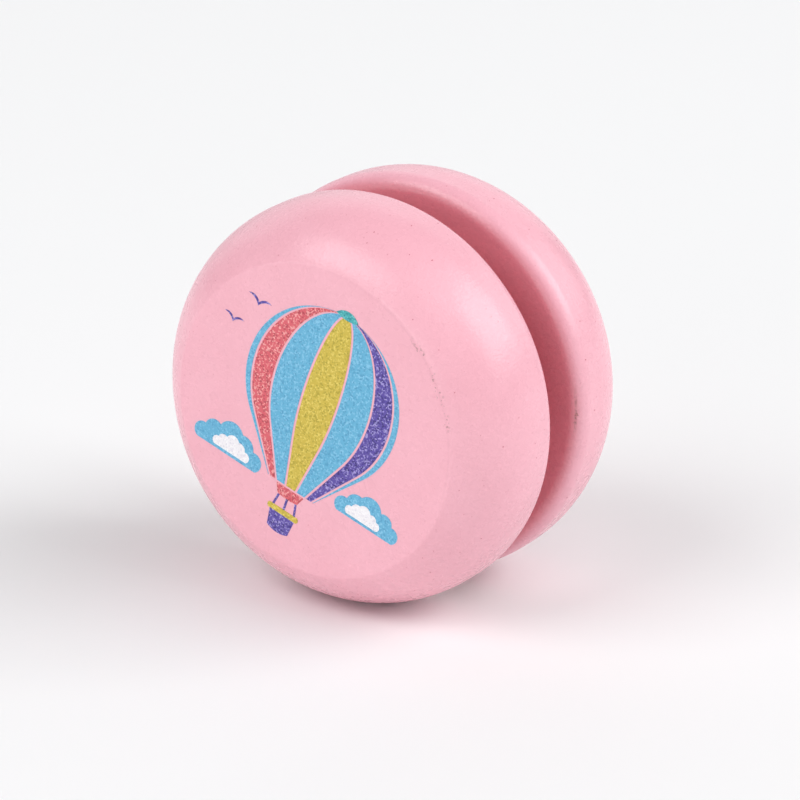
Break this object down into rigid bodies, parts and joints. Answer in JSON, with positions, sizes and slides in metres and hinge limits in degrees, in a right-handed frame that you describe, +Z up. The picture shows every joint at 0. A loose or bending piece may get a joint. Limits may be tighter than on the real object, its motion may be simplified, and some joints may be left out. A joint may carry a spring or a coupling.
{
  "type": "yo-yo",
  "caption": "Turned wooden yo-yo: two rounded painted halves glued on a short dowel, with a narrow gap between them where a string winds.",
  "frame": {"origin": "middle of the axle, half-way between the two outer faces", "axes": "+Y along the axle, from the front half towards the rear half; +Z up, with the yo-yo standing on its two rims; the printed front face looks along -Y"},
  "size_m": [0.05, 0.033, 0.05],
  "materials": {
    "pink_paint": "satin pink paint sprayed over turned, sanded wood",
    "bare_wood": "unpainted hardwood dowel",
    "sky_blue_ink": "printed ink film, finely mottled",
    "violet_ink": "printed ink film, finely mottled",
    "yellow_ink": "printed ink film, finely mottled",
    "coral_ink": "printed ink film, finely mottled",
    "teal_ink": "printed ink film, finely mottled",
    "white_ink": "printed ink film"
  },
  "bodies": {
    "root": {"front_half": "pink_paint", "rear_half": "pink_paint", "axle_dowel": "bare_wood"}
  },
  "joints": []
}
